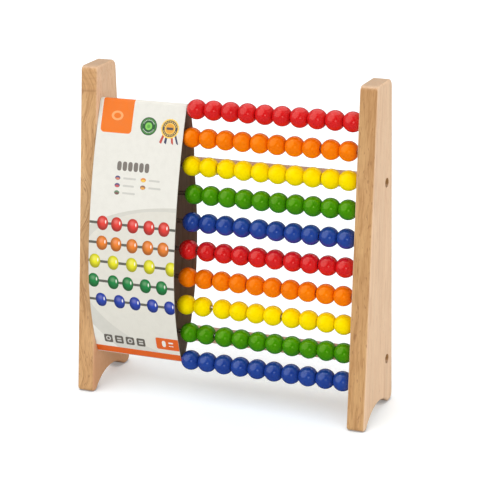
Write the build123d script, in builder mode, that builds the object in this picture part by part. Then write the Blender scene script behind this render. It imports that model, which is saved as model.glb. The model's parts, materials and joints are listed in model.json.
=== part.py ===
"""Bead abacus: two leaning beech sides, ten steel rods, a hundred beads, two crossbars, a card sleeve.

Millimetres, +Z up, +X to the right as seen from the front, origin at the middle of the base.
"""
import os
from math import atan, cos, degrees, radians, sin, tan

from build123d import *

# Side panels, in the Y-Z plane. The back edge and the front edge both lean backwards.
overall_width = 288.0
panel_thickness = 17.0
back_height = 300.0
base_depth = 77.6
lean_back = 3.84
lean_front = 11.3
front_foot_y = -49.0
top_front_radius = 5.0
top_back_radius = 7.0
foot_back_radius = 6.0
foot_front_radius = 3.2
arch_corner_radius = 3.0
rim_radius = 2.2

# Arch under each panel
arch_chord = 60.0
arch_height = 11.5
front_foot_width = 7.0

# Rods and rows, on a line parallel to the front edge
row_count = 10
row_pitch = 25.9
rod_diameter = 4.0
rod_hole_diameter = 4.1
rod_socket_depth = 8.0
rod_end_gap = 0.2
rod_setback = 10.5
rod_middle_z = 153.8

# Beads
bead_diameter = 18.4
bead_length = 16.4
bead_bore = 4.5
bead_hang = 0.15
bead_end_round = 0.8
bore_round = 0.5
beads_per_row = 10
pair_pitch = 16.5

# How the beads stand: the gap to the right panel, the usual gap between pairs, and the wider gaps
wall_gaps = (0.2, 3.0, 2.0, 1.4, 1.8, 1.8, 2.8, 1.2, 0.2, 0.3)
pair_gaps = (0.3, 0.4, 0.3, 0.1, 0.3, 0.7, 0.9, 0.5, 0.3, 0.3)
wide_gaps = {(2, 4): 1.4, (3, 1): 1.2, (3, 4): 0.8, (5, 4): 0.8, (8, 1): 3.3, (8, 3): 1.8, (9, 1): 2.1}
spread_pairs = {(6, 1): 18.2}

# Crossbars and the screws that hold them
crossbar_diameter = 15.0
crossbar_setback = 15.0
upper_crossbar_z = 209.9
lower_crossbar_z = 43.9
screw_head_diameter = 8.4
screw_head_height = 3.0
screw_shank_diameter = 4.0
screw_length = 38.0
screw_cross_width = 1.2
counterbore_diameter = 9.0
counterbore_depth = 5.5
shank_hole_diameter = 4.3
pilot_hole_diameter = 4.05

# Card sleeve: a loop of card folded over the top rod and under the bottom rod. Its back rests
# against the upper crossbar and bulges above and below it.
card_thickness = 0.5
sleeve_left_x = -126.7
sleeve_right_x = -39.35
sleeve_top = 120.8
sleeve_bottom = -119.6
sleeve_fold_width = 3.6
sleeve_fold_height = 2.7
sleeve_front_depth = 23.5
sleeve_front_widest = -28.0
sleeve_back_depth = 26.3
sleeve_back_widest = -20.0
sleeve_bar_depth = 16.15
sleeve_bar_height = 61.0
sleeve_bar_bulge = 3.0

colours = ("red", "orange", "yellow", "green", "blue")
inner_x = overall_width / 2 - panel_thickness
outer_x = overall_width / 2
back_foot_y = front_foot_y + base_depth
rod_middle_y = front_foot_y + rod_setback + rod_middle_z * tan(radians(lean_front))


def front_edge_y(z):
    """The front edge's Y at height z."""
    return front_foot_y + z * tan(radians(lean_front))


def back_edge_y(z):
    """The back edge's Y at height z."""
    return back_foot_y + z * tan(radians(lean_back))


def row_point(row):
    """Y and Z of the rod of row 1 to 10, counted from the top."""
    along = ((row_count + 1) / 2 - row) * row_pitch
    y = rod_middle_y + along * sin(radians(lean_front))
    z = rod_middle_z + along * cos(radians(lean_front))
    return y, z


def crossbar_point(z):
    """Y and Z of a crossbar's axis, set in from the back edge."""
    return back_edge_y(z) - crossbar_setback, z


def panel_corner_top_front():
    """Where the top, cut square to the back edge, meets the front edge."""
    slope_front = tan(radians(lean_front))
    run = back_edge_y(back_height) - front_edge_y(back_height)
    depth = run / (cos(radians(lean_back)) + slope_front * sin(radians(lean_back)))
    y = back_edge_y(back_height) - depth * cos(radians(lean_back))
    z = back_height + depth * sin(radians(lean_back))
    return y, z


def corner_nearest(sketch, y, z):
    """The corner of a side outline nearest to a point, in the outline's own plane."""
    return sketch.vertices().sort_by_distance((y, z, 0))[0]


def side_panel(side):
    """One side panel: side is -1 for the left and 1 for the right."""
    top_front = panel_corner_top_front()
    arch_middle = front_foot_y + front_foot_width + arch_chord / 2
    arch_radius = ((arch_chord / 2) ** 2 + arch_height**2) / (2 * arch_height)
    arch_start = front_foot_y + front_foot_width
    arch_end = arch_start + arch_chord
    with BuildPart() as panel:
        with BuildSketch(Plane.YZ.offset(side * inner_x)) as outline:
            with BuildLine():
                Polyline(
                    (front_foot_y, 0),
                    (back_foot_y, 0),
                    (back_edge_y(back_height), back_height),
                    top_front,
                    close=True,
                )
            make_face()
            with Locations((arch_middle, arch_height - arch_radius)):
                Circle(arch_radius, mode=Mode.SUBTRACT)
            fillet(corner_nearest(outline, *top_front), radius=top_front_radius)
            fillet(corner_nearest(outline, back_edge_y(back_height), back_height), radius=top_back_radius)
            fillet(corner_nearest(outline, back_foot_y, 0), radius=foot_back_radius)
            fillet(corner_nearest(outline, front_foot_y, 0), radius=foot_front_radius)
            fillet(corner_nearest(outline, arch_start, 0), radius=arch_corner_radius)
            fillet(corner_nearest(outline, arch_end, 0), radius=arch_corner_radius)
        extrude(amount=side * panel_thickness)
        fillet(panel.faces().filter_by(Axis.X).edges(), radius=rim_radius)
        into_wood = Plane(origin=(side * inner_x, 0, 0), x_dir=(0, 1, 0), z_dir=(1, 0, 0))
        with BuildSketch(into_wood):
            with Locations(*[row_point(row) for row in range(1, row_count + 1)]):
                Circle(rod_hole_diameter / 2)
        extrude(amount=side * rod_socket_depth, mode=Mode.SUBTRACT)
        with BuildSketch(into_wood):
            with Locations(crossbar_point(upper_crossbar_z), crossbar_point(lower_crossbar_z)):
                Circle(shank_hole_diameter / 2)
        extrude(amount=side * panel_thickness, mode=Mode.SUBTRACT)
        with BuildSketch(into_wood.offset(side * (panel_thickness - counterbore_depth))):
            with Locations(crossbar_point(upper_crossbar_z), crossbar_point(lower_crossbar_z)):
                Circle(counterbore_diameter / 2)
        extrude(amount=side * counterbore_depth, mode=Mode.SUBTRACT)
    return panel.part


def crossbar(z):
    """A round dowel between the panels, with a pilot hole in each end."""
    y, z = crossbar_point(z)
    pilot_depth = screw_length - (panel_thickness - counterbore_depth) + 2
    with BuildPart() as bar:
        with BuildSketch(Plane.YZ.offset(-inner_x)):
            with Locations((y, z)):
                Circle(crossbar_diameter / 2)
        extrude(amount=2 * inner_x)
        for end in (-1, 1):
            with BuildSketch(Plane.YZ.offset(end * inner_x)):
                with Locations((y, z)):
                    Circle(pilot_hole_diameter / 2)
            extrude(amount=-end * pilot_depth, mode=Mode.SUBTRACT)
    return bar.part


def crossbar_screws():
    """Four pan-head screws, two at each side, with their heads sunk in the counterbores."""
    seat = panel_thickness - counterbore_depth
    with BuildPart() as screw:
        with BuildSketch(Plane.XY):
            with BuildLine():
                Polyline(
                    (0, 0),
                    (screw_length - 3, 0),
                    (screw_length, 0),
                    (screw_length - 3, screw_shank_diameter / 2),
                    (0, screw_shank_diameter / 2),
                    (0, screw_head_diameter / 2),
                    (-screw_head_height / 2, screw_head_diameter / 2),
                )
                ThreePointArc(
                    (-screw_head_height / 2, screw_head_diameter / 2),
                    (-screw_head_height * 0.88, screw_head_diameter / 4),
                    (-screw_head_height, 0),
                )
                Line((-screw_head_height, 0), (0, 0))
            make_face()
        revolve(axis=Axis.X)
        with BuildSketch(Plane.YZ.offset(-screw_head_height)):
            Rectangle(screw_cross_width, screw_head_diameter * 0.6)
            Rectangle(screw_head_diameter * 0.6, screw_cross_width)
        extrude(amount=screw_head_height * 0.6, mode=Mode.SUBTRACT)
    with BuildPart() as screws:
        for z in (upper_crossbar_z, lower_crossbar_z):
            y, z = crossbar_point(z)
            for side in (-1, 1):
                turn = 0 if side < 0 else 180
                with Locations(Location((side * (inner_x + seat), y, z), (0, 0, turn))):
                    add(screw.part)
    return screws.part


def rods(rows):
    """A group of straight rods with rounded ends, each let into both panels."""
    length = 2 * (inner_x + rod_socket_depth - rod_end_gap)
    with BuildPart() as rod:
        with BuildSketch(Plane.YZ.offset(-length / 2)):
            Circle(rod_diameter / 2)
        extrude(amount=length)
        chamfer(rod.edges().filter_by(GeomType.CIRCLE), length=0.4)
    with BuildPart() as group:
        for row in rows:
            y, z = row_point(row)
            with Locations((0, y, z)):
                add(rod.part)
    return group.part


def turned_bead():
    """A ball with flat ends and a bore along X."""
    flat_radius = ((bead_diameter / 2) ** 2 - (bead_length / 2) ** 2) ** 0.5
    with BuildPart() as bead:
        with BuildSketch(Plane.XY):
            with BuildLine():
                Polyline(
                    (bead_length / 2, flat_radius),
                    (bead_length / 2, bead_bore / 2),
                    (-bead_length / 2, bead_bore / 2),
                    (-bead_length / 2, flat_radius),
                )
                ThreePointArc(
                    (-bead_length / 2, flat_radius),
                    (0, bead_diameter / 2),
                    (bead_length / 2, flat_radius),
                )
            make_face()
        revolve(axis=Axis.X)
        rings = bead.edges().filter_by(GeomType.CIRCLE)
        fillet([ring for ring in rings if abs(ring.radius - flat_radius) < 0.1], radius=bead_end_round)
        rings = bead.edges().filter_by(GeomType.CIRCLE)
        fillet([ring for ring in rings if abs(ring.radius - bead_bore / 2) < 0.1], radius=bore_round)
    return bead.part


def pair_centre_x(row, pair):
    """X of the middle of pair 1 to 5, counted from the left."""
    last_pair = beads_per_row // 2
    x = inner_x - wall_gaps[row - 1] - bead_length / 2 - pair_spacing(row, last_pair) / 2
    for right in range(last_pair, pair, -1):
        gap = wide_gaps.get((row, right - 1), pair_gaps[row - 1])
        halves = (pair_spacing(row, right) + pair_spacing(row, right - 1)) / 2
        x -= halves + bead_length + gap
    return x


def pair_spacing(row, pair):
    """Distance between the two bead centres of a pair."""
    return spread_pairs.get((row, pair), pair_pitch)


def bead_pair(bead, row, pair):
    """Two neighbouring beads, hanging on their rod."""
    y, z = row_point(row)
    x = pair_centre_x(row, pair)
    half = pair_spacing(row, pair) / 2
    with BuildPart() as beads:
        with Locations((x - half, y, z - bead_hang), (x + half, y, z - bead_hang)):
            add(bead)
    return beads.part


def card_sleeve():
    """The closed card loop, open at its left and right ends."""
    rod_line = Plane(
        origin=(sleeve_left_x, rod_middle_y, rod_middle_z),
        x_dir=(0, cos(radians(lean_front)), -sin(radians(lean_front))),
        z_dir=(1, 0, 0),
    )
    top = sleeve_top - sleeve_fold_height
    bottom = sleeve_bottom + sleeve_fold_height
    with BuildPart() as sleeve:
        with BuildSketch(rod_line) as loop:
            with BuildLine():
                front = (-sleeve_front_depth, sleeve_front_widest)
                back = (sleeve_back_depth, sleeve_back_widest)
                at_bar = (sleeve_bar_depth, sleeve_bar_height)
                TangentArc(front, (-sleeve_fold_width, top), tangent=(0, 1))
                TangentArc(front, (-sleeve_fold_width, bottom), tangent=(0, -1))
                TangentArc(back, at_bar, tangent=(0, 1))
                SagittaArc(at_bar, (sleeve_fold_width, top), -sleeve_bar_bulge)
                TangentArc(back, (sleeve_fold_width, bottom), tangent=(0, -1))
                ThreePointArc((-sleeve_fold_width, top), (0, sleeve_top), (sleeve_fold_width, top))
                ThreePointArc((-sleeve_fold_width, bottom), (0, sleeve_bottom), (sleeve_fold_width, bottom))
            make_face()
        extrude(amount=sleeve_right_x - sleeve_left_x)
        with BuildSketch(rod_line):
            offset(loop.sketch_local.faces(), amount=-card_thickness)
        extrude(amount=sleeve_right_x - sleeve_left_x, mode=Mode.SUBTRACT)
    return sleeve.part


def save(part, name):
    """Label one sub-part and write it."""
    part.label = name
    export_step(part, f"parts/{name}.step")


os.makedirs("parts", exist_ok=True)
save(side_panel(-1), "side_panel_left")
save(side_panel(1), "side_panel_right")
save(crossbar(upper_crossbar_z), "upper_crossbar")
save(crossbar(lower_crossbar_z), "lower_crossbar")
save(crossbar_screws(), "crossbar_screws")
save(rods(range(1, 6)), "rods_upper_five")
save(rods(range(6, 11)), "rods_lower_five")
save(card_sleeve(), "card_sleeve")
bead_solid = turned_bead()
for row in range(1, row_count + 1):
    colour = colours[(row - 1) % len(colours)]
    for pair in range(1, beads_per_row // 2 + 1):
        first = 2 * pair - 1
        save(bead_pair(bead_solid, row, pair), f"row_{row:02d}_{colour}_beads_{first}_{first + 1}")
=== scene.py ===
import json
import math

import bpy
from mathutils import Matrix, Vector
from mathutils.geometry import delaunay_2d_cdt

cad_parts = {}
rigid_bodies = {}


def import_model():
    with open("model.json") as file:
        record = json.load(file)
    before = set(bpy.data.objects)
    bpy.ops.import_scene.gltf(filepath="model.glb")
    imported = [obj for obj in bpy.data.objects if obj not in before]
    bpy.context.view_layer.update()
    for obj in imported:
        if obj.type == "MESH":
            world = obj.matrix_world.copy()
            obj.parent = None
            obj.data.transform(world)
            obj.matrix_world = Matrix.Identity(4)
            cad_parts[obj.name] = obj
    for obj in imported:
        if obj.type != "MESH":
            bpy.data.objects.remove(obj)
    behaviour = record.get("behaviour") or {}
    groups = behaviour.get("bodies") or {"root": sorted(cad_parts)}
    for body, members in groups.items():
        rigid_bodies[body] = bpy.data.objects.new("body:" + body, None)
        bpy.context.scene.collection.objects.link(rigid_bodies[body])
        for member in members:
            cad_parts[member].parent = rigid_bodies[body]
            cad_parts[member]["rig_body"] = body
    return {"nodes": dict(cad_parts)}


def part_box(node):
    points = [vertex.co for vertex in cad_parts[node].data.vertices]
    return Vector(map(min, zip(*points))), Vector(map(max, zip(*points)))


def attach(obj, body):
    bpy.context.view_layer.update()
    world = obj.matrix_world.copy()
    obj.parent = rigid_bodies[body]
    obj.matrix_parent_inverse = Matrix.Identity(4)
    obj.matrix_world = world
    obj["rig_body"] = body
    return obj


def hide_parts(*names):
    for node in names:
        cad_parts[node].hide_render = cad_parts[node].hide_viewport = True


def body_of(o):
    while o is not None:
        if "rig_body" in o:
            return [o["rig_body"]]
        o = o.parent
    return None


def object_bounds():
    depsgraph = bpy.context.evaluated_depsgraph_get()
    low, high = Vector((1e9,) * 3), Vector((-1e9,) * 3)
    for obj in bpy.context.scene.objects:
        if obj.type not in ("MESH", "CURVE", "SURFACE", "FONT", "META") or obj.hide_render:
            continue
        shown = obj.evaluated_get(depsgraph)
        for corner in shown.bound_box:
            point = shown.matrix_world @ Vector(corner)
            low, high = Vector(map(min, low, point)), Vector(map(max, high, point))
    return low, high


MM = 0.001
LEAN = math.radians(11.3)  # the rods, the sleeve and the front edges all lean back by this

# Turned beads, millimetres
BEAD_DIAMETER = 18.4
BEAD_LENGTH = 16.4
BEAD_BORE = 4.5
BEAD_END_ROUND = 0.8
BEAD_BORE_ROUND = 0.5
BEAD_SEGMENTS = 56

# Card sleeve, millimetres in its leaning plane: t is depth (+ to the back) and s is up the lean
CARD = 0.5
SLEEVE_TOP_S = 118.1
SLEEVE_BOTTOM_S = -116.9
FRONT_DEPTH = 23.5
FRONT_WIDEST_S = -28.0
BACK_DEPTH = 26.3
BACK_WIDEST_S = -20.0
BAR_DEPTH = 16.15
BAR_S = 61.0
BAR_BULGE = 3.0
NOSE_HALF = 3.6
NOSE_RISE = 2.7
FRONT_FOOT_Y = -49.0
ROD_SETBACK = 10.5
ROD_MIDDLE_Z = 153.8
ROD_MIDDLE_Y = FRONT_FOOT_Y + ROD_SETBACK + ROD_MIDDLE_Z * math.tan(LEAN)

# How finely the sleeve is cut: rows of print faces down the front, closer rows at each fold, and
# steps down each side of the shell, crowded towards the folds
PRINT_ROWS = 96
FOLD_ROWS = 6
FOLD_ROW_PITCH = 0.8
SHELL_STEPS = 120
SHELL_CROWDING = 0.13

# Strength of the near-white surroundings, as light and as seen in reflections. In reflections a
# round patch towards DARK_SIDE, between these two angles from its middle, fades to black.
WORLD_WHITE = (0.98, 0.99, 1.0, 1)
WORLD_GLOW = 0.49
WORLD_REFLECTED = 0.3
DARK_SIDE = Vector((0.42, -0.88, 0.2)).normalized()
DARK_FROM, DARK_TO = math.radians(52), math.radians(30)

# The floor, metres: it glows a little for the camera, is dim in reflections, and has a painted
# contact shadow within CONTACT_REACH of what stands on it
FLOOR_HALF_SIZE = 6.0
FLOOR_GLOW = 0.2
FLOOR_DIMMED = 0.85
CONTACT_REACH = 0.008
CONTACT_DEPTH = 0.75

# The camera, to the front right of the abacus and a little above it
CAMERA_YAW, CAMERA_PITCH, CAMERA_ROLL = (math.radians(d) for d in (24.532, 21.468, -3.167))
CAMERA_PLACE = (0.6403, -1.3776, 0.7472)
CAMERA_LENS = 134.43
CAMERA_SENSOR = 36

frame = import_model()
cad_low, cad_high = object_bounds()
nodes = frame["nodes"]


# ---------------------------------------------------------------- shader helpers


class Shader:
    """A small writer of node trees for one material."""

    def __init__(self, name):
        self.material = bpy.data.materials.new(name)
        self.material.use_nodes = True
        self.tree = self.material.node_tree
        self.surface = self.tree.nodes["Principled BSDF"]

    def node(self, kind, **settings):
        """A new node with these attributes."""
        made = self.tree.nodes.new(kind)
        for key, value in settings.items():
            setattr(made, key, value)
        return made

    def wire(self, source, target):
        """Joins an output to an input, or writes a plain value on the input."""
        if isinstance(source, bpy.types.NodeSocket):
            self.tree.links.new(source, target)
        else:
            target.default_value = source

    def place(self, scale, turn=(0, 0, 0)):
        """Object coordinates, turned and then scaled, in cycles per metre."""
        coordinates = self.node("ShaderNodeTexCoord").outputs["Object"]
        turned = self.node("ShaderNodeMapping")
        self.wire(coordinates, turned.inputs["Vector"])
        turned.inputs["Rotation"].default_value = turn
        scaled = self.node("ShaderNodeMapping")
        self.wire(turned.outputs["Vector"], scaled.inputs["Vector"])
        scaled.inputs["Scale"].default_value = scale
        return scaled.outputs["Vector"]

    def split(self, vector):
        """A vector's outputs X, Y and Z."""
        made = self.node("ShaderNodeSeparateXYZ")
        self.wire(vector, made.inputs[0])
        return made.outputs

    def noise(self, vector, detail=3.0, roughness=0.5, distortion=0.0):
        """Perlin noise, 0 to 1 around 0.5."""
        made = self.node("ShaderNodeTexNoise")
        self.wire(vector, made.inputs["Vector"])
        made.inputs["Scale"].default_value = 1.0
        made.inputs["Detail"].default_value = detail
        made.inputs["Roughness"].default_value = roughness
        made.inputs["Distortion"].default_value = distortion
        return made.outputs["Fac"]

    def span(self, value, low, high, to_low=0.0, to_high=1.0):
        """Maps low..high to to_low..to_high, smoothly and clamped."""
        made = self.node("ShaderNodeMapRange", interpolation_type="SMOOTHSTEP")
        self.wire(value, made.inputs["Value"])
        limits = {"From Min": low, "From Max": high, "To Min": to_low, "To Max": to_high}
        for key, number in limits.items():
            made.inputs[key].default_value = number
        return made.outputs["Result"]

    def maths(self, operation, *values):
        """One arithmetic step."""
        made = self.node("ShaderNodeMath", operation=operation)
        for value, target in zip(values, made.inputs):
            self.wire(value, target)
        return made.outputs[0]

    def blend(self, factor, first, second, how="MIX"):
        """Mixes two colours."""
        made = self.node("ShaderNodeMix", data_type="RGBA", blend_type=how)
        self.wire(factor, made.inputs[0])
        self.wire(first, made.inputs[6])
        self.wire(second, made.inputs[7])
        return made.outputs[2]

    def bump(self, height, distance):
        """Relief of the given depth in metres."""
        made = self.node("ShaderNodeBump")
        made.inputs["Strength"].default_value = 1.0
        made.inputs["Distance"].default_value = distance
        self.wire(height, made.inputs["Height"])
        self.wire(made.outputs["Normal"], self.surface.inputs["Normal"])

    def set(self, **values):
        """Values or links for the surface's inputs; underscores stand for spaces."""
        for key, value in values.items():
            self.wire(value, self.surface.inputs[key.replace("_", " ")])


def srgb(red, green, blue):
    """A screen colour, 0 to 255, as a linear shader colour."""
    linear = [
        c / 255 / 12.92 if c <= 10.3 else ((c / 255 + 0.055) / 1.055) ** 2.4
        for c in (red, green, blue)
    ]
    return (*linear, 1.0)


def darker(colour, share):
    """A screen colour scaled down to share, as a linear shader colour."""
    return srgb(*[c * share for c in colour])


# ---------------------------------------------------------------- materials


def beech(name, grain_turn, seed, pale, tan, edge_tone, bend=0.0, knot_z=None, foot_shade=0.0):
    """Satin-lacquered beech. The grain runs along local Z after grain_turn.

    The faces are pale and pinkish; surfaces that look along -Y, the sawn front edges, are tan
    with stronger streaks, and the end grain is greyer. bend is how far the grain wanders, in
    metres, knot_z is the height at which it closes round a knot on the front edge, and foot_shade
    is how much painted shade browns the faces near the floor, where shade falls on the feet.
    """
    s = Shader(name)
    shift = Vector((seed, seed * 0.37, seed * 0.71))
    slow = s.noise(s.place((4, 4, 15)), detail=1)
    wander = s.maths("MULTIPLY", s.maths("SUBTRACT", slow, 0.5), bend)
    sideways = s.node("ShaderNodeCombineXYZ")
    s.wire(wander, sideways.inputs["X"])

    def along(across, length):
        """Coordinates stretched along the wandering grain."""
        bent = s.node("ShaderNodeVectorMath", operation="ADD")
        s.wire(s.place((1, 1, 1), grain_turn), bent.inputs[0])
        s.wire(sideways.outputs[0], bent.inputs[1])
        scaled = s.node("ShaderNodeVectorMath", operation="MULTIPLY_ADD")
        s.wire(bent.outputs[0], scaled.inputs[0])
        scaled.inputs[1].default_value = (across, across, length)
        scaled.inputs[2].default_value = shift
        return scaled.outputs[0]

    bands = s.noise(along(55, 3.2), detail=3, roughness=0.55, distortion=0.9)
    streaks = s.noise(along(480, 11), detail=4, roughness=0.66, distortion=0.25)
    fibres = s.noise(along(1500, 60), detail=2, roughness=0.6)
    flecks = s.noise(along(720, 150), detail=1.5, roughness=0.4)

    normal = s.split(s.node("ShaderNodeTexCoord").outputs["Normal"])
    front = s.span(normal["Y"], -0.55, -0.97)
    end = s.span(s.maths("ABSOLUTE", normal["Z"]), 0.7, 0.98)

    face = s.blend(s.span(bands, 0.3, 0.7), srgb(*pale), darker(pale, 0.955))
    edge = s.blend(s.span(bands, 0.36, 0.64), srgb(*tan), srgb(*edge_tone))
    tone = s.blend(front, face, edge)
    tone = s.blend(s.maths("MULTIPLY", end, 0.5), tone, srgb(168, 140, 110))
    lines = s.blend(front, srgb(206, 152, 112), srgb(172, 120, 68))
    streak_depth = s.maths("MULTIPLY_ADD", front, 0.32, 0.34)
    streak = s.maths("MULTIPLY", s.span(streaks, 0.44, 0.66), streak_depth)
    tone = s.blend(streak, tone, lines)
    fibre_depth = s.maths("MULTIPLY_ADD", front, 0.22, 0.14)
    tone = s.blend(s.maths("MULTIPLY", s.span(fibres, 0.35, 0.75), fibre_depth), tone, lines)
    fleck_depth = s.maths("MULTIPLY_ADD", front, 0.42, 0.16)
    fleck = s.maths("MULTIPLY", s.span(flecks, 0.64, 0.71), fleck_depth)
    tone = s.blend(fleck, tone, srgb(150, 98, 56))
    if knot_z is not None:
        tone = knot(s, tone, front, knot_z)
    # Painted shade: the faces, not the front edges, turn browner from 100 mm down to 20 mm above the
    # floor, standing in for the shade round the feet.
    if foot_shade:
        height = s.split(s.place((1, 1, 1)))["Z"]
        shade_near_floor = s.span(height, 0.1, 0.02, 0.0, foot_shade)
        painted_foot_shade = s.maths("MULTIPLY", shade_near_floor, s.maths("SUBTRACT", 1.0, front))
        tone = s.blend(painted_foot_shade, tone, srgb(206, 140, 88))
    s.set(
        Base_Color=tone,
        Roughness=s.span(streaks, 0.3, 0.8, 0.44, 0.6),
        Specular_IOR_Level=0.42,
        Coat_Weight=0.08,
        Coat_Roughness=0.35,
    )
    s.bump(s.maths("ADD", fibres, s.maths("MULTIPLY", fleck, -1.2)), 0.00006)
    return s.material


def knot(s, tone, front, height):
    """A dark grain line across the front edge, with fine rings and darker wood above it."""
    here = s.split(s.place((1, 1, 1)))["Z"]
    ripple = s.maths("MULTIPLY", s.noise(s.place((90, 90, 20)), detail=2), 0.006)
    level = s.maths("ADD", s.maths("SUBTRACT", here, height), ripple)
    above = s.maths("MULTIPLY", s.span(level, 0.0, 0.0025), front)
    tone = s.blend(s.maths("MULTIPLY", above, 0.3), tone, srgb(205, 152, 98))
    line = s.maths("MULTIPLY", s.span(s.maths("ABSOLUTE", level), 0.0016, 0.0), front)
    tone = s.blend(s.maths("MULTIPLY", line, 0.45), tone, srgb(160, 108, 64))
    rings = s.maths("SINE", s.maths("MULTIPLY", level, 1300.0))
    rings = s.maths("MULTIPLY", s.span(rings, 0.1, 1.0), above)
    return s.blend(s.maths("MULTIPLY", rings, 0.16), tone, srgb(168, 116, 72))


def bead_paint(name, colour, deep, gloss):
    """Satin water-based paint on a turned wooden bead; gloss is the colour of its sheen."""
    s = Shader(name)
    cloud = s.noise(s.place((70, 70, 70)), detail=2)
    grain = s.noise(s.place((160, 900, 900)), detail=3, roughness=0.6)
    peel = s.noise(s.place((1100, 1100, 1100)), detail=2)
    pores = s.noise(s.place((420, 2600, 2600)), detail=1)
    tone = s.blend(s.span(cloud, 0.3, 0.7, 0.0, 0.55), srgb(*colour), srgb(*deep))
    tone = s.blend(s.span(grain, 0.52, 0.8, 0.0, 0.22), tone, darker(deep, 0.82))
    tone = s.blend(s.span(pores, 0.68, 0.8, 0.0, 0.35), tone, darker(deep, 0.7))
    s.set(
        Base_Color=tone,
        Roughness=s.span(peel, 0.25, 0.75, 0.14, 0.2),
        Specular_IOR_Level=0.95,
        Specular_Tint=srgb(*gloss),
    )
    s.bump(s.maths("MULTIPLY_ADD", peel, 0.5, s.maths("MULTIPLY", grain, -0.8)), 0.00003)
    return s.material


def steel(name, colour, roughness, lines_along_x, metallic=1.0):
    """Steel, either drawn, with fine lines along X, or with a fine grain."""
    s = Shader(name)
    scale = (40, 5200, 5200) if lines_along_x else (2600, 2600, 2600)
    lines = s.noise(s.place(scale), detail=2, roughness=0.6)
    patches = s.noise(s.place((90, 160, 160)), detail=3)
    tone = s.blend(s.span(lines, 0.3, 0.75), srgb(*colour), darker(colour, 0.86))
    tone = s.blend(s.span(patches, 0.55, 0.8, 0.0, 0.3), tone, darker(colour, 0.72))
    s.set(
        Base_Color=tone,
        Metallic=metallic,
        Roughness=s.span(patches, 0.3, 0.75, roughness, roughness + 0.14),
        Specular_IOR_Level=0.5,
    )
    s.bump(lines, 0.00002)
    return s.material


def card(name, colour, streak_colour, streak_depth, roughness):
    """Plain card: fibre mottle, faint streaks along its height and a fine tooth."""
    s = Shader(name)
    fibre = s.noise(s.place((900, 900, 900)), detail=4, roughness=0.7)
    streaks = s.noise(s.place((420, 30, 9)), detail=3, roughness=0.6)
    tone = s.blend(s.span(fibre, 0.3, 0.75, 0.0, 0.16), srgb(*colour), darker(colour, 0.86))
    tone = s.blend(s.span(streaks, 0.45, 0.75, 0.0, streak_depth), tone, srgb(*streak_colour))
    s.set(Base_Color=tone, Roughness=s.span(fibre, 0.3, 0.7, roughness, roughness + 0.1))
    s.bump(fibre, 0.00003)
    return s.material


def printed_card(name):
    """Ink on coated card. The ink's colour is the mesh's own, and 'bead' places printed bead gloss.

    'bead' holds a point's place on its printed bead, -1 to 1 across and down, and 2 elsewhere.
    """
    s = Shader(name)
    ink = s.node("ShaderNodeAttribute", attribute_name="ink").outputs["Color"]
    place = s.node("ShaderNodeAttribute", attribute_name="bead").outputs["Vector"]
    fibre = s.noise(s.place((1300, 1300, 1300)), detail=3, roughness=0.65)
    mottle = s.noise(s.place((160, 160, 160)), detail=2)

    def spot(across, down, wide, tall, soft):
        """1 inside an upright oval on the printed bead, fading to 0 by its rim."""
        moved = s.node("ShaderNodeMapping")
        s.wire(place, moved.inputs["Vector"])
        moved.inputs["Location"].default_value = (-across / wide, -down / tall, 0)
        moved.inputs["Scale"].default_value = (1 / wide, 1 / tall, 0)
        length = s.node("ShaderNodeVectorMath", operation="LENGTH")
        s.wire(moved.outputs["Vector"], length.inputs[0])
        return s.span(length.outputs["Value"], 1.0, 1.0 - soft)

    shade = s.blend(spot(0.1, -0.2, 1.25, 1.2, 0.8), srgb(172, 172, 172), (1, 1, 1, 1))
    on_bead = spot(0, 0, 1.06, 1.06, 0.01)
    sheen = s.maths("MULTIPLY", spot(-0.1, -0.35, 0.7, 0.5, 1.0), 0.14)
    glint = s.maths("MULTIPLY", spot(0.55, -0.2, 0.17, 0.36, 0.7), 0.9)
    printed = s.blend(1.0, ink, shade, how="MULTIPLY")
    printed = s.blend(sheen, printed, srgb(255, 240, 228))
    printed = s.blend(glint, printed, srgb(255, 250, 240))
    tone = s.blend(on_bead, ink, printed)
    tone = s.blend(s.span(mottle, 0.35, 0.75, 0.0, 0.05), tone, srgb(150, 140, 125))
    tone = s.blend(s.span(fibre, 0.45, 0.8, 0.0, 0.05), tone, srgb(120, 110, 95))
    s.set(
        Base_Color=tone,
        Roughness=s.span(fibre, 0.3, 0.7, 0.42, 0.52),
        Specular_IOR_Level=0.3,
        Coat_Weight=0.05,
        Coat_Roughness=0.3,
    )
    s.bump(fibre, 0.00002)
    return s.material


UPRIGHT = (LEAN * 0.7, 0, 0)
LENGTHWAYS = (0, math.pi / 2, 0)
beech_left = beech(
    "beech_left",
    UPRIGHT,
    seed=3.1,
    pale=(234, 194, 156),
    tan=(229, 185, 133),
    edge_tone=(214, 166, 113),
    bend=0.05,
    knot_z=0.284,
    foot_shade=0.6,
)
beech_right = beech(
    "beech_right",
    UPRIGHT,
    seed=7.7,
    pale=(243, 206, 169),
    tan=(215, 169, 114),
    edge_tone=(199, 149, 96),
    bend=0.012,
)
beech_bar = beech(
    "beech_dowel",
    LENGTHWAYS,
    seed=5.3,
    pale=(222, 186, 154),
    tan=(222, 186, 154),
    edge_tone=(210, 172, 142),
)
rod_steel = steel("rod_steel", (214, 213, 210), 0.16, True)
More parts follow.
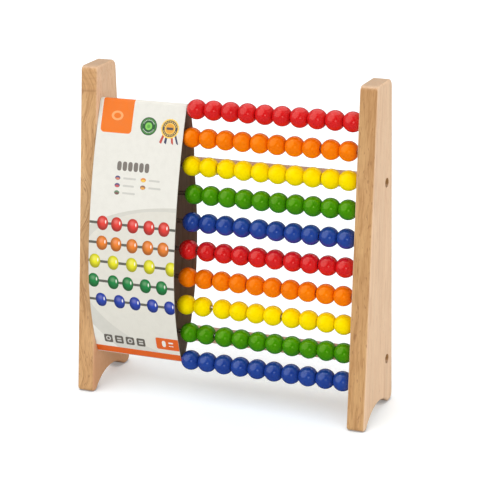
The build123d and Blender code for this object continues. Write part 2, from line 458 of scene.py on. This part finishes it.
# The screw heads' dark brown is partly their own dark finish and partly painted shade for the recesses
# they sit in.
screw_steel_recess_shade = steel("screw_steel_recess_shade", (56, 36, 26), 0.5, False, metallic=0.5)
card_back = card("card_back", (238, 236, 229), (222, 219, 210), 0.12, 0.5)
card_inside = card("card_inside", (134, 115, 100), (90, 76, 65), 0.5, 0.75)
card_rim = card("card_rim", (214, 206, 192), (176, 166, 150), 0.4, 0.8)
print_ink = printed_card("card_print")
paints = {
    "red": bead_paint("paint_red", (220, 22, 24), (202, 14, 18), (255, 210, 200)),
    "orange": bead_paint("paint_orange", (250, 124, 0), (240, 108, 0), (255, 214, 110)),
    "yellow": bead_paint("paint_yellow", (255, 228, 0), (250, 214, 0), (255, 240, 40)),
    "green": bead_paint("paint_green", (66, 145, 0), (50, 123, 0), (225, 255, 130)),
    "blue": bead_paint("paint_blue", (30, 66, 152), (20, 50, 134), (215, 230, 255)),
}
cad_finish = {
    "side_panel_left": beech_left,
    "side_panel_right": beech_right,
    "upper_crossbar": beech_bar,
    "lower_crossbar": beech_bar,
    "crossbar_screws": screw_steel_recess_shade,
    "rods_upper_five": rod_steel,
    "rods_lower_five": rod_steel,
}
for node_name, finish in cad_finish.items():
    for material_slot in nodes[node_name].material_slots:
        material_slot.material = finish


# ---------------------------------------------------------------- beads


def arc(centre, radius, start, end, steps):
    """Points of an arc round centre, from start to end in radians, both ends included."""
    angles = [start + (end - start) * i / steps for i in range(steps + 1)]
    return [(centre[0] + radius * math.cos(a), centre[1] + radius * math.sin(a)) for a in angles]


def bead_half_profile():
    """(x, radius) from the middle of the bore, round one end, to the bead's widest ring."""
    radius, half = BEAD_DIAMETER / 2, BEAD_LENGTH / 2
    bore_centre = (half - BEAD_BORE_ROUND, BEAD_BORE / 2 + BEAD_BORE_ROUND)
    end_x = half - BEAD_END_ROUND
    reach = radius - BEAD_END_ROUND
    end_centre = (end_x, math.sqrt(reach**2 - end_x**2))
    meet = math.atan2(end_centre[1], end_centre[0])
    points = [(0.0, BEAD_BORE / 2), (half * 0.5, BEAD_BORE / 2)]
    points += arc(bore_centre, BEAD_BORE_ROUND, -math.pi / 2, 0, 3)
    points += arc(end_centre, BEAD_END_ROUND, 0, meet, 4)
    points += arc((0, 0), radius, meet, math.pi / 2, 13)[1:]
    return points


def lathe(profile, segments, centre_x, vertices, faces):
    """Adds the closed ring made by turning profile round the X axis."""
    first, count = len(vertices), len(profile)
    for j in range(segments):
        turn = 2 * math.pi * j / segments
        for x, r in profile:
            vertices.append(((centre_x + x) * MM, r * MM * math.cos(turn), r * MM * math.sin(turn)))
    for j in range(segments):
        for i in range(count):
            a, b = first + j * count, first + (j + 1) % segments * count
            k = (i + 1) % count
            faces.append((a + i, a + k, b + k, b + i))


def mesh_object(name, vertices, faces, material):
    """A smooth-shaded mesh in the scene."""
    mesh = bpy.data.meshes.new(name)
    mesh.from_pydata(vertices, [], faces)
    mesh.materials.append(material)
    mesh.shade_smooth()
    made = bpy.data.objects.new(name, mesh)
    bpy.context.scene.collection.objects.link(made)
    return made


def bead_pieces():
    """One finely turned piece for each pair of beads, in place of its CAD node."""
    half = bead_half_profile()
    profile = half + [(-x, r) for x, r in reversed(half)][1:-1]
    for node in sorted(nodes):
        if "_beads_" not in node:
            continue
        low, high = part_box(node)
        middle = (low + high) / 2
        spread = (high.x - low.x) / MM / 2 - BEAD_LENGTH / 2
        vertices, faces = [], []
        for side in (-1, 1):
            lathe(profile, BEAD_SEGMENTS, side * spread, vertices, faces)
        vertices = [Vector(v) + middle for v in vertices]
        colour = node.split("_")[2]
        piece = mesh_object(node.replace("_beads_", "_turned_"), vertices, faces, paints[colour])
        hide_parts(node)
        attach(piece, body_of(nodes[node])[0])


# ---------------------------------------------------------------- card sleeve


def curve(start, end, bulge):
    """The arc from start to end that stands bulge proud of its chord, on the chord's left."""
    along = Vector(end) - Vector(start)
    half = along.length / 2
    radius = (half**2 + bulge**2) / 2 / bulge
    left = Vector((-along.y, along.x)).normalized()
    centre = (Vector(start) + Vector(end)) / 2 - left * (radius - bulge)
    first, last = (math.atan2(p[1] - centre.y, p[0] - centre.x) for p in (start, end))
    return centre, radius, first, last


def quarter(widest, end):
    """The arc from the widest point, where it runs straight up or down, to end."""
    depth, rise = widest[0] - end[0], end[1] - widest[1]
    radius = (depth**2 + rise**2) / 2 / depth
    centre = Vector((widest[0] - radius, widest[1]))
    return centre, radius, 0.0, math.asin(rise / radius)


def turned_round(piece):
    """The same arc, run the other way."""
    centre, radius, first, last = piece
    return centre, radius, last, first


def sleeve_side(back):
    """The front or the back of the sleeve's loop, from its top fold to its bottom fold.

    Returns its length and a function from the distance down it to (t, s, outward t, outward s).
    """
    sign = 1 if back else -1
    top, bottom = (NOSE_HALF, SLEEVE_TOP_S), (NOSE_HALF, SLEEVE_BOTTOM_S)
    nose_radius = (NOSE_HALF**2 + NOSE_RISE**2) / 2 / NOSE_RISE
    nose_turn = math.asin(NOSE_HALF / nose_radius)
    up = math.pi / 2
    top_centre = Vector((0, SLEEVE_TOP_S + NOSE_RISE - nose_radius))
    bottom_centre = Vector((0, SLEEVE_BOTTOM_S - NOSE_RISE + nose_radius))
    arcs = [(top_centre, nose_radius, up, up - nose_turn)]
    if back:
        widest, bar = (BACK_DEPTH, BACK_WIDEST_S), (BAR_DEPTH, BAR_S)
        arcs += [curve(top, bar, BAR_BULGE), turned_round(quarter(widest, bar))]
    else:
        widest = (FRONT_DEPTH, FRONT_WIDEST_S)
        arcs.append(turned_round(quarter(widest, top)))
    arcs.append(quarter(widest, bottom))
    arcs.append((bottom_centre, nose_radius, nose_turn - up, -up))
    lengths = [radius * abs(last - first) for _, radius, first, last in arcs]

    def at(distance):
        left = min(distance, sum(lengths) - 1e-9)
        for (centre, radius, first, last), length in zip(arcs, lengths):
            if left <= length:
                break
            left -= length
        share = left / length
        angle = first + (last - first) * share
        out_t, out_s = math.cos(angle), math.sin(angle)
        return sign * (centre.x + radius * out_t), centre.y + radius * out_s, sign * out_t, out_s

    return sum(lengths), at


def leaned(x, t, s):
    """A place in the sleeve's leaning plane, millimetres, as metres in the row frame."""
    return Vector((
        x * MM,
        (ROD_MIDDLE_Y + t * math.cos(LEAN) + s * math.sin(LEAN)) * MM,
        (ROD_MIDDLE_Z - t * math.sin(LEAN) + s * math.cos(LEAN)) * MM,
    ))


def leaned_direction(t, s):
    """A direction in the sleeve's leaning plane, in the row frame."""
    return Vector((
        0,
        t * math.cos(LEAN) + s * math.sin(LEAN),
        -t * math.sin(LEAN) + s * math.cos(LEAN),
    ))


def oval(u, v, wide, tall, steps=28, power=2.0, tilt=0.0):
    """An oval outline on the flat sheet. A power over 2 squares it up; tilt turns it, in degrees."""
    points = []
    turn_u, turn_v = math.cos(math.radians(tilt)), math.sin(math.radians(tilt))
    for i in range(steps):
        a = 2 * math.pi * i / steps
        c, d = math.cos(a), math.sin(a)
        du = wide * math.copysign(abs(c) ** (2 / power), c)
        dv = tall * math.copysign(abs(d) ** (2 / power), d)
        points.append((u + du * turn_u - dv * turn_v, v + du * turn_v + dv * turn_u))
    return points


def rounded(u0, v0, u1, v1, radius, steps=5):
    """A rectangle with rounded corners on the flat sheet."""
    points = []
    corners = ((u1, v1, 0), (u0, v1, 1), (u0, v0, 2), (u1, v0, 3))
    for u, v, quarter in corners:
        centre = (
            u - radius if u == u1 else u + radius,
            v - radius if v == v1 else v + radius,
        )
        points += arc(centre, radius, quarter * math.pi / 2, (quarter + 1) * math.pi / 2, steps)
    return points


def wavy_disc(u, v, radius, depth, waves):
    """A disc with a scalloped rim."""
    steps = waves * 6
    points = []
    for i in range(steps):
        a = 2 * math.pi * i / steps
        r = radius - depth * abs(math.sin(waves * a / 2)) ** 0.6
        points.append((u + r * math.cos(a), v + r * math.sin(a)))
    return points


def ring_dashes(u, v, inner, outer, start, end, count, fill=0.6):
    """Short blocks set along an arc between two angles in degrees, in place of small print."""
    shapes = []
    pitch = math.radians(end - start) / count
    for i in range(count):
        a = math.radians(start) + pitch * (i + 0.5 - fill / 2)
        b = a + pitch * fill
        shapes.append([
            (u + r * math.cos(w), v + r * math.sin(w))
            for r, w in ((inner, a), (outer, a), (outer, b), (inner, b))
        ])
    return shapes


WHITE_INK = srgb(231, 227, 217)
WARM_GREY = srgb(223, 218, 206)
ARC_GREY = srgb(212, 208, 197)
ORANGE_INK = srgb(240, 119, 22)
DEEP_ORANGE = srgb(224, 94, 12)
ROD_INK = srgb(100, 98, 88)
TEXT_GREY = srgb(126, 118, 110)
SOFT_GREY = srgb(206, 202, 193)
ICON_GREY = srgb(98, 92, 84)
DARK_GREEN = srgb(48, 92, 54)
MID_GREEN = srgb(96, 168, 72)
LEAF_GREEN = srgb(134, 206, 92)
PALE_GREEN = srgb(196, 214, 190)
GOLD = srgb(250, 206, 96)
DEEP_GOLD = srgb(232, 164, 60)
NAVY = srgb(66, 68, 96)
BADGE_GREY = srgb(84, 80, 84)
RIBBON_RED = srgb(198, 78, 64)
PRINTED_BEADS = (
    (srgb(232, 58, 46), 117.0, (13.5, 28.0, 44.5, 61.0, 76.0)),
    (srgb(240, 130, 32), 135.5, (13.5, 28.0, 44.5, 60.5, 76.0)),
    (srgb(238, 230, 16), 153.0, (6.5, 25.5, 44.5, 62.5, 84.5)),
    (srgb(22, 138, 66), 171.5, (5.0, 25.5, 40.5, 58.5, 75.0)),
    (srgb(32, 66, 178), 190.0, (12.0, 31.0, 47.0, 65.0, 82.5)),
)
PRINTED_BEAD_HALF = (5.7, 6.7)


def print_shapes(width, height):
    """Everything printed on the front, bottom layer first: (outline, ink, printed bead or None)."""
    shapes = [([(0, 0), (width, 0), (width, height), (0, height)], WHITE_INK, None)]

    def add(outline, ink, bead=None):
        shapes.append((outline, ink, bead))

    add(oval(236, 226, 270.5, 109, 200, tilt=16.5), ARC_GREY)
    add(oval(105.5, 175, 118, 72, 120, tilt=11), WARM_GREY)
    add(rounded(3.7, -2, 35.3, 33.5, 3.6), ORANGE_INK)
    add(oval(19.5, 17.5, 6.0, 4.4, 24), srgb(252, 170, 104))
    add(oval(19.5, 17.5, 3.6, 2.6, 20), ORANGE_INK)

    seal = (52.2, 25.0)
    add(oval(*seal, 8.3, 8.3, 40), DARK_GREEN)
    add(oval(*seal, 7.2, 7.2, 36), MID_GREEN)
    add(oval(*seal, 6.7, 6.7, 36), DARK_GREEN)
    for start, end in ((200, 340), (25, 155)):
        for outline in ring_dashes(*seal, 5.3, 6.2, start, end, 9):
            add(outline, PALE_GREEN)
    add(oval(*seal, 3.5, 3.5, 24), LEAF_GREEN)
    add(oval(*seal, 1.7, 1.7, 18), MID_GREEN)

    badge = (73.7, 25.6)
    for shift, ink in ((-6.2, RIBBON_RED), (-3.2, NAVY), (1.2, RIBBON_RED), (4.4, NAVY)):
        lean = (shift + 1.1) * 0.62
        left = badge[0] + shift
        add([(left, 30), (left + 2.2, 30), (left + 2.2 + lean, 40.0), (left + lean, 38.6)], ink)
    add(wavy_disc(*badge, 9.3, 0.5, 22), GOLD)
    add(oval(*badge, 7.6, 7.6, 36), BADGE_GREY)
    for start, end in ((190, 350), (15, 165)):
        for outline in ring_dashes(*badge, 5.9, 6.9, start, end, 9, 0.5):
            add(outline, GOLD)
    add(oval(*badge, 5.3, 5.3, 32), GOLD)
    add(oval(*badge, 4.5, 4.5, 28), DEEP_GOLD)
    add(rounded(badge[0] - 3.4, badge[1] - 1.1, badge[0] + 3.4, badge[1] + 1.1, 1.0, 3), BADGE_GREY)

    for k in range(6):
        add(oval(26.9 + 5.6 * k, 63.2, 2.25, 4.3, 24, 3.0), TEXT_GREY)
    for u, v, upper, lower, words in (
        (26.2, 74.2, srgb(90, 88, 130), srgb(212, 130, 104), 13),
        (26.2, 81.0, srgb(92, 84, 128), srgb(206, 92, 92), 11.5),
        (26.2, 87.7, srgb(110, 140, 108), srgb(132, 90, 88), 13),
        (52.2, 74.2, srgb(226, 142, 70), srgb(240, 196, 78), 11),
        (52.2, 81.0, srgb(150, 104, 84), srgb(236, 168, 78), 12.5),
    ):
        add(oval(u, v, 2.7, 2.0, 20), upper)
        add(oval(u, v + 0.7, 2.1, 1.1, 16), lower)
        add(rounded(u + 5.6, v - 0.9, u + 5.6 + words, v + 0.9, 0.8, 3), SOFT_GREY)

    for ink, v, centres in PRINTED_BEADS:
        add([(-1, v - 1.3), (width + 1, v - 1.3), (width + 1, v + 1.1), (-1, v + 1.1)], ROD_INK)
        for u in centres:
            add(oval(u, v, *PRINTED_BEAD_HALF, 30, 2.15), ink, (u, v))

    for k in range(4):
        left = 10.1 + 11.3 * k
        add(rounded(left, 226.3, left + 8.7, 234.9, 1.4), ICON_GREY)
        if k % 2 == 0:
            add(oval(left + 4.35, 230.6, 2.6, 2.6, 18), SOFT_GREY)
            add(oval(left + 4.35, 230.6, 1.4, 1.4, 14), ICON_GREY)
        else:
            add(rounded(left + 2.1, 228.5, left + 6.6, 230.1, 0.5, 2), SOFT_GREY)
            add(rounded(left + 2.1, 231.2, left + 6.6, 232.8, 0.5, 2), SOFT_GREY)
    add(rounded(64.4, 222.4, width + 4, 235.0, 1.6), DEEP_ORANGE)
    add(oval(72.3, 228.7, 1.9, 3.4, 24, 3.0), WHITE_INK)
    add(rounded(77.1, 226.3, 81.9, 227.9, 0.7, 3), WHITE_INK)
    add(rounded(77.1, 230.2, 81.9, 231.0, 0.3, 3), WHITE_INK)
    add([(-1, 239.6), (width + 1, 239.6), (width + 1, 246.6), (-1, 246.6)], DEEP_ORANGE)
    return shapes


def printed_front(x_left, width):
    """The front of the sleeve: the flat print cut into faces, then bent onto the sleeve's curve."""
    length, at = sleeve_side(back=False)
    shapes = print_shapes(width, length)
    points, outlines = [], []
    for outline, _, _ in shapes:
        outlines.append(list(range(len(points), len(points) + len(outline))))
        points += [Vector(p) for p in outline]
    fold_rows = [FOLD_ROW_PITCH * k for k in range(1, FOLD_ROWS + 1)]
    bends = [length * k / PRINT_ROWS for k in range(1, PRINT_ROWS)]
    bends += fold_rows + [length - v for v in fold_rows]
    edges = []
    for v in bends:
        edges.append((len(points), len(points) + 1))
        points += [Vector((0, v)), Vector((width, v))]
    flat, _, faces, _, _, origins = delaunay_2d_cdt(points, edges, outlines, 1, 1e-4, True)
    kept = [(f, max(o)) for f, o in zip(faces, origins) if 0 in o]

    used = sorted({i for f, _ in kept for i in f})
    place_of = {old: new for new, old in enumerate(used)}
    flat = [flat[i] for i in used]
    vertices, normals = [], []
    for u, v in flat:
        t, s, out_t, out_s = at(min(max(v, 0.0), length))
        vertices.append(leaned(x_left + u, t, s))
        normals.append(leaned_direction(out_t, out_s))
    facing = [tuple(place_of[i] for i in reversed(f)) for f, _ in kept]
    front = mesh_object("sleeve_front_print", vertices, facing, print_ink)
    mesh = front.data
    ink = mesh.attributes.new("ink", "FLOAT_COLOR", "CORNER")
    place = mesh.attributes.new("bead", "FLOAT_VECTOR", "CORNER")
    for polygon, (_, top) in zip(mesh.polygons, kept):
        _, colour, bead = shapes[top]
        for corner in polygon.loop_indices:
            u, v = flat[mesh.loops[corner].vertex_index]
            ink.data[corner].color = colour
            if bead:
                half_u, half_v = PRINTED_BEAD_HALF
                place.data[corner].vector = ((u - bead[0]) / half_u, (v - bead[1]) / half_v, 0)
            else:
                place.data[corner].vector = (2, 2, 0)
    mesh.normals_split_custom_set_from_vertices(normals)
    return front


def sleeve_shell(x_left, width):
    """The rest of the sleeve: its plain back, its inside and its cut edges."""
    outside, inside, rim = range(3)
    loop = []
    front_length, front_at = sleeve_side(back=False)
    back_length, back_at = sleeve_side(back=True)
    for i in range(SHELL_STEPS + 1):
        loop.append(front_at(front_length * ease(i / SHELL_STEPS)))
    for i in range(SHELL_STEPS - 1, 0, -1):
        loop.append(back_at(back_length * ease(i / SHELL_STEPS)))
    count = len(loop)
    vertices, faces, finishes = [], [], []
    for inward in (0.0, CARD):
        for u in (0.0, width):
            for t, s, out_t, out_s in loop:
                vertices.append(leaned(x_left + u, t - inward * out_t, s - inward * out_s))
    outer_left, outer_right, inner_left, inner_right = (c * count for c in range(4))
    for i in range(count):
        k = (i + 1) % count
        if i >= SHELL_STEPS:
            faces.append((outer_left + i, outer_left + k, outer_right + k, outer_right + i))
            finishes.append(outside)
        faces.append((inner_left + k, inner_left + i, inner_right + i, inner_right + k))
        finishes.append(inside)
        faces.append((outer_left + k, outer_left + i, inner_left + i, inner_left + k))
        finishes.append(rim)
        faces.append((outer_right + i, outer_right + k, inner_right + k, inner_right + i))
        finishes.append(rim)
    shell = mesh_object("sleeve_card", vertices, faces, card_back)
    shell.data.materials.append(card_inside)
    shell.data.materials.append(card_rim)
    for polygon, finish in zip(shell.data.polygons, finishes):
        polygon.material_index = finish
        polygon.use_smooth = finish != rim
    return shell


def ease(share):
    """Crowds samples towards both ends of a side, where the noses bend sharply."""
    return share - math.sin(2 * math.pi * share) * SHELL_CROWDING


def sleeve_pieces():
    """The card sleeve's two pieces, in place of its CAD node."""
    low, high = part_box("card_sleeve")
    x_left, width = low.x / MM, (high.x - low.x) / MM
    for piece in (printed_front(x_left, width), sleeve_shell(x_left, width)):
        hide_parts("card_sleeve")
        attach(piece, "frame")


bead_pieces()
sleeve_pieces()


# ---------------------------------------------------------------- floor, light and camera


def floor():
    """A large, pale, plain floor."""
    s = Shader("floor_paper")
    cloud = s.noise(s.place((3, 3, 3)), detail=2)
    tooth = s.noise(s.place((900, 900, 900)), detail=2)
    rays = s.node("ShaderNodeLightPath").outputs
    tone = s.blend(s.span(cloud, 0.3, 0.7), srgb(242, 248, 251), srgb(240, 246, 249))
    tone = s.blend(s.maths("MULTIPLY", rays["Is Glossy Ray"], FLOOR_DIMMED), tone, (0, 0, 0, 1))
    # Painted shadow: the floor's colour turns dark brown-grey where occlusion is high, a contact
    # shadow painted round whatever stands on it.
    open_sky = s.node("ShaderNodeAmbientOcclusion", samples=8)
    open_sky.inputs["Distance"].default_value = CONTACT_REACH
    painted_contact_shadow = s.span(open_sky.outputs["AO"], 0.75, 0.3, 0.0, CONTACT_DEPTH)
    tone = s.blend(painted_contact_shadow, tone, srgb(110, 92, 78))
    s.set(
        Base_Color=tone,
        Roughness=0.9,
        Specular_IOR_Level=0.1,
        Emission_Color=(1, 1, 1, 1),
        Emission_Strength=s.maths("MULTIPLY", rays["Is Camera Ray"], FLOOR_GLOW),
    )
    s.bump(tooth, 0.00002)
    size = FLOOR_HALF_SIZE
    corners = [(-size, -size, 0), (size, -size, 0), (size, size, 0), (-size, size, 0)]
    made = mesh_object("floor", corners, [(0, 1, 2, 3)], s.material)
    made.location.z = cad_low.z


def soft_light(name, towards, spread, strength, mirrored=True):
    """A distant light that lies towards a direction, spread degrees wide, mirrored in gloss or not."""
    data = bpy.data.lights.new(name, "SUN")
    data.angle = math.radians(spread)
    data.energy = strength
    light = bpy.data.objects.new(name, data)
    light.rotation_euler = (-Vector(towards)).to_track_quat("-Z", "Y").to_euler()
    light.visible_glossy = mirrored
    bpy.context.scene.collection.objects.link(light)


def world():
    """A plain studio: white where it is seen, softer as light, and dimmer in reflections."""
    made = bpy.data.worlds.new("studio")
    made.use_nodes = True
    bpy.context.scene.world = made
    tree = made.node_tree
    path = tree.nodes.new("ShaderNodeLightPath")
    seen = tree.nodes["Background"]
    seen.inputs["Color"].default_value = (1, 1, 1, 1)
    seen.inputs["Strength"].default_value = 1.0
    for name, strength in (("glow", WORLD_GLOW), ("reflected", WORLD_REFLECTED)):
        other = tree.nodes.new("ShaderNodeBackground")
        other.name = name
        other.inputs["Color"].default_value = WORLD_WHITE
        other.inputs["Strength"].default_value = strength
    direction = tree.nodes.new("ShaderNodeTexCoord")
    facing = tree.nodes.new("ShaderNodeVectorMath")
    facing.operation = "DOT_PRODUCT"
    tree.links.new(direction.outputs["Generated"], facing.inputs[0])
    facing.inputs[1].default_value = DARK_SIDE
    shadowed = tree.nodes.new("ShaderNodeMapRange")
    shadowed.interpolation_type = "SMOOTHSTEP"
    tree.links.new(facing.outputs["Value"], shadowed.inputs["Value"])
    for key, number in (
        ("From Min", math.cos(DARK_FROM)),
        ("From Max", math.cos(DARK_TO)),
        ("To Min", WORLD_REFLECTED),
        ("To Max", 0.0),
    ):
        shadowed.inputs[key].default_value = number
    tree.links.new(shadowed.outputs["Result"], tree.nodes["reflected"].inputs["Strength"])
    by_gloss = tree.nodes.new("ShaderNodeMixShader")
    tree.links.new(path.outputs["Is Glossy Ray"], by_gloss.inputs[0])
    tree.links.new(tree.nodes["glow"].outputs[0], by_gloss.inputs[1])
    tree.links.new(tree.nodes["reflected"].outputs[0], by_gloss.inputs[2])
    by_camera = tree.nodes.new("ShaderNodeMixShader")
    tree.links.new(path.outputs["Is Camera Ray"], by_camera.inputs[0])
    tree.links.new(by_gloss.outputs[0], by_camera.inputs[1])
    tree.links.new(seen.outputs[0], by_camera.inputs[2])
    tree.links.new(by_camera.outputs[0], tree.nodes["World Output"].inputs["Surface"])


def camera():
    """The camera, from its yaw, pitch and roll."""
    back = Vector((
        math.sin(CAMERA_YAW) * math.cos(CAMERA_PITCH),
        -math.cos(CAMERA_YAW) * math.cos(CAMERA_PITCH),
        math.sin(CAMERA_PITCH),
    ))
    level = Vector((math.cos(CAMERA_YAW), math.sin(CAMERA_YAW), 0))
    upright = back.cross(level)
    right = math.cos(CAMERA_ROLL) * level + math.sin(CAMERA_ROLL) * upright
    up = -math.sin(CAMERA_ROLL) * level + math.cos(CAMERA_ROLL) * upright
    data = bpy.data.cameras.new("camera")
    data.sensor_width = CAMERA_SENSOR
    data.lens = CAMERA_LENS
    made = bpy.data.objects.new("camera", data)
    turned = Matrix((right, up, back)).transposed().to_4x4()
    turned.translation = CAMERA_PLACE
    made.matrix_world = turned
    bpy.context.scene.collection.objects.link(made)
    bpy.context.scene.camera = made


floor()
world()
soft_light("key_left", (-0.65, -0.65, 0.75), spread=76, strength=1.14)
soft_light("camera_side", DARK_SIDE, spread=18, strength=0.17)
soft_light("fill_right", (0.95, -0.3, 0.45), spread=60, strength=0.98, mirrored=False)
soft_light("top", (-0.1, 0.45, 1.0), spread=75, strength=1.05)
camera()
bpy.context.scene.view_settings.view_transform = "Standard"
bpy.context.scene.view_settings.look = "None"
